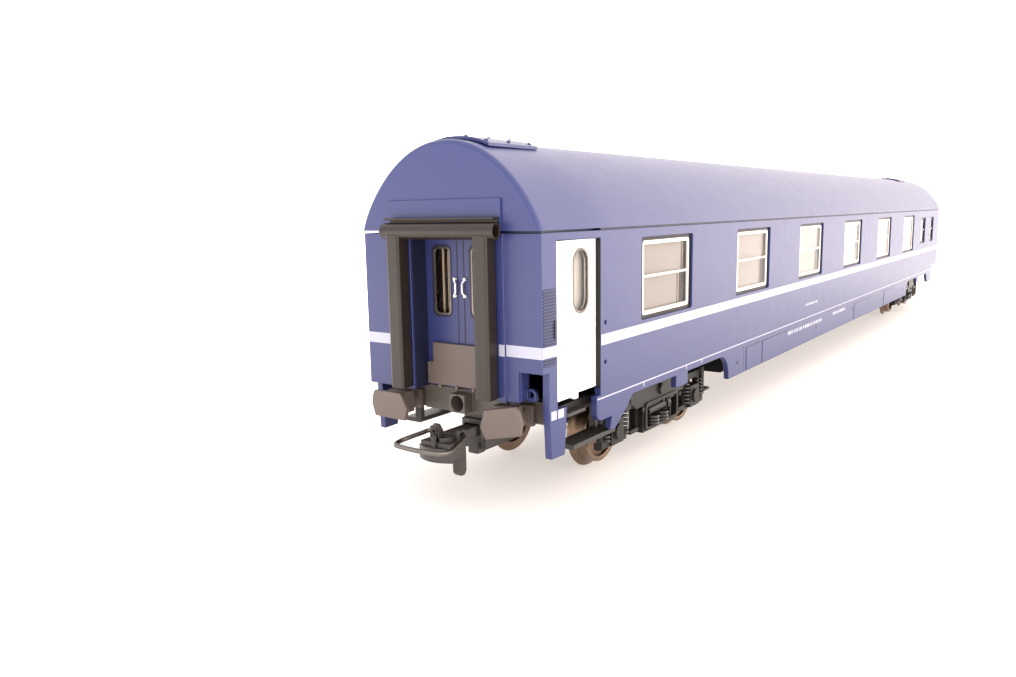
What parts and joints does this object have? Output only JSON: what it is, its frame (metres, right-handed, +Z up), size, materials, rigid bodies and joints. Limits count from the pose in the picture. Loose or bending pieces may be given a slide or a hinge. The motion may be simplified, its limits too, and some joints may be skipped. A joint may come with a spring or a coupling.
{
  "type": "model passenger coach",
  "caption": "Scale model of a bogie sleeping coach: blue shell and roof, glazed sides, swivelling bogies with free wheels, and sprung loop couplers on a black underframe.",
  "frame": {"origin": "on the floor under the centre of the coach, at the height of the wheel flanges' lowest points", "axes": "+X along the coach, with the entrance doors at the -X end; +Y across it, with the corridor windows facing -Y; +Z up"},
  "size_m": [0.3152, 0.0332, 0.0511],
  "materials": {
    "body_blue": "satin moulded plastic, deep ultramarine",
    "door_white": "white paint on plastic",
    "rubber_grey": "matt warm grey plastic",
    "chassis": "matt black plastic",
    "bogie": "matt black plastic",
    "coupler": "black acetal",
    "loop": "blackened steel wire",
    "wheel": "bronze-toned nickel plating",
    "steel": "turned steel",
    "clear": "clear moulded plastic",
    "interior": "cream moulded plastic",
    "ballast": "plain rolled steel"
  },
  "bodies": {
    "coach": {"body_shell": "body_blue", "roof": "body_blue", "roof_vent_front": "body_blue", "roof_vent_rear": "body_blue", "glazing_corridor": "clear", "glazing_cabins": "clear", "entrance_door_left": "door_white", "entrance_door_right": "door_white", "door_glazing_left": "clear", "door_glazing_right": "clear", "underframe": "chassis", "ballast_plate": "ballast", "interior": "interior", "step_boards_left": "chassis", "step_boards_right": "chassis", "battery_box": "chassis", "water_tank": "chassis", "gangway_door_front": "body_blue", "gangway_door_glazing_front": "clear", "gangway_rubber_front": "rubber_grey", "footplate_front": "rubber_grey", "headstock_front": "rubber_grey", "buffer_left_front": "rubber_grey", "buffer_right_front": "rubber_grey", "pivot_screw_front": "steel", "gangway_door_rear": "body_blue", "gangway_door_glazing_rear": "clear", "gangway_rubber_rear": "rubber_grey", "footplate_rear": "rubber_grey", "headstock_rear": "rubber_grey", "buffer_left_rear": "rubber_grey", "buffer_right_rear": "rubber_grey", "pivot_screw_rear": "steel"},
    "bogie_front": {"bogie_frame_front": "bogie", "side_frame_front_left": "bogie", "side_frame_front_right": "bogie"},
    "wheelset_front_outer": {"axle_front_outer": "steel", "wheel_front_outer_left": "wheel", "wheel_front_outer_right": "wheel"},
    "wheelset_front_inner": {"axle_front_inner": "steel", "wheel_front_inner_left": "wheel", "wheel_front_inner_right": "wheel"},
    "coupler_carrier_front": {"coupler_slide_front": "chassis"},
    "coupler_bar_front": {"drawbar_front": "coupler", "coupler_head_front": "coupler"},
    "loop_front": {"coupling_loop_front": "loop"},
    "bogie_rear": {"bogie_frame_rear": "bogie", "side_frame_rear_left": "bogie", "side_frame_rear_right": "bogie"},
    "wheelset_rear_outer": {"axle_rear_outer": "steel", "wheel_rear_outer_left": "wheel", "wheel_rear_outer_right": "wheel"},
    "wheelset_rear_inner": {"axle_rear_inner": "steel", "wheel_rear_inner_left": "wheel", "wheel_rear_inner_right": "wheel"},
    "coupler_carrier_rear": {"coupler_slide_rear": "chassis"},
    "coupler_bar_rear": {"drawbar_rear": "coupler", "coupler_head_rear": "coupler"},
    "loop_rear": {"coupling_loop_rear": "loop"}
  },
  "joints": [
    {"name": "bogie_front_swivel", "type": "hinge", "parent": "coach", "child": "bogie_front", "pos_m": [-0.1094, 0, 0.0112], "axis": [0, 0, 1], "range_deg": [-12, 12]},
    {"name": "wheelset_front_outer_spin", "type": "hinge", "parent": "bogie_front", "child": "wheelset_front_outer", "pos_m": [-0.1244, 0, 0.00625], "axis": [0, 1, 0], "continuous": true},
    {"name": "wheelset_front_inner_spin", "type": "hinge", "parent": "bogie_front", "child": "wheelset_front_inner", "pos_m": [-0.0944, 0, 0.00625], "axis": [0, 1, 0], "continuous": true},
    {"name": "coupler_front_extend", "type": "slide", "parent": "coach", "child": "coupler_carrier_front", "axis": [-1, 0, 0], "range_m": [0, 0.002], "stiffness_N_per_m": 15},
    {"name": "coupler_front_swing", "type": "hinge", "parent": "coupler_carrier_front", "child": "coupler_bar_front", "pos_m": [-0.1357, 0, 0.0115], "axis": [0, 0, 1], "range_deg": [-9, 9], "stiffness_Nm_per_rad": 0.0004},
    {"name": "coupling_loop_front_lift", "type": "hinge", "parent": "coupler_bar_front", "child": "loop_front", "pos_m": [-0.1505, 0, 0.0102], "axis": [0, 1, 0], "range_deg": [0, 28]},
    {"name": "bogie_rear_swivel", "type": "hinge", "parent": "coach", "child": "bogie_rear", "pos_m": [0.1094, 0, 0.0112], "axis": [0, 0, 1], "range_deg": [-12, 12]},
    {"name": "wheelset_rear_outer_spin", "type": "hinge", "parent": "bogie_rear", "child": "wheelset_rear_outer", "pos_m": [0.1244, 0, 0.00625], "axis": [0, 1, 0], "continuous": true},
    {"name": "wheelset_rear_inner_spin", "type": "hinge", "parent": "bogie_rear", "child": "wheelset_rear_inner", "pos_m": [0.0944, 0, 0.00625], "axis": [0, 1, 0], "continuous": true},
    {"name": "coupler_rear_extend", "type": "slide", "parent": "coach", "child": "coupler_carrier_rear", "axis": [1, 0, 0], "range_m": [0, 0.002], "stiffness_N_per_m": 15},
    {"name": "coupler_rear_swing", "type": "hinge", "parent": "coupler_carrier_rear", "child": "coupler_bar_rear", "pos_m": [0.1357, 0, 0.0115], "axis": [0, 0, 1], "range_deg": [-9, 9], "stiffness_Nm_per_rad": 0.0004},
    {"name": "coupling_loop_rear_lift", "type": "hinge", "parent": "coupler_bar_rear", "child": "loop_rear", "pos_m": [0.1505, 0, 0.0102], "axis": [0, -1, 0], "range_deg": [0, 28]}
  ]
}
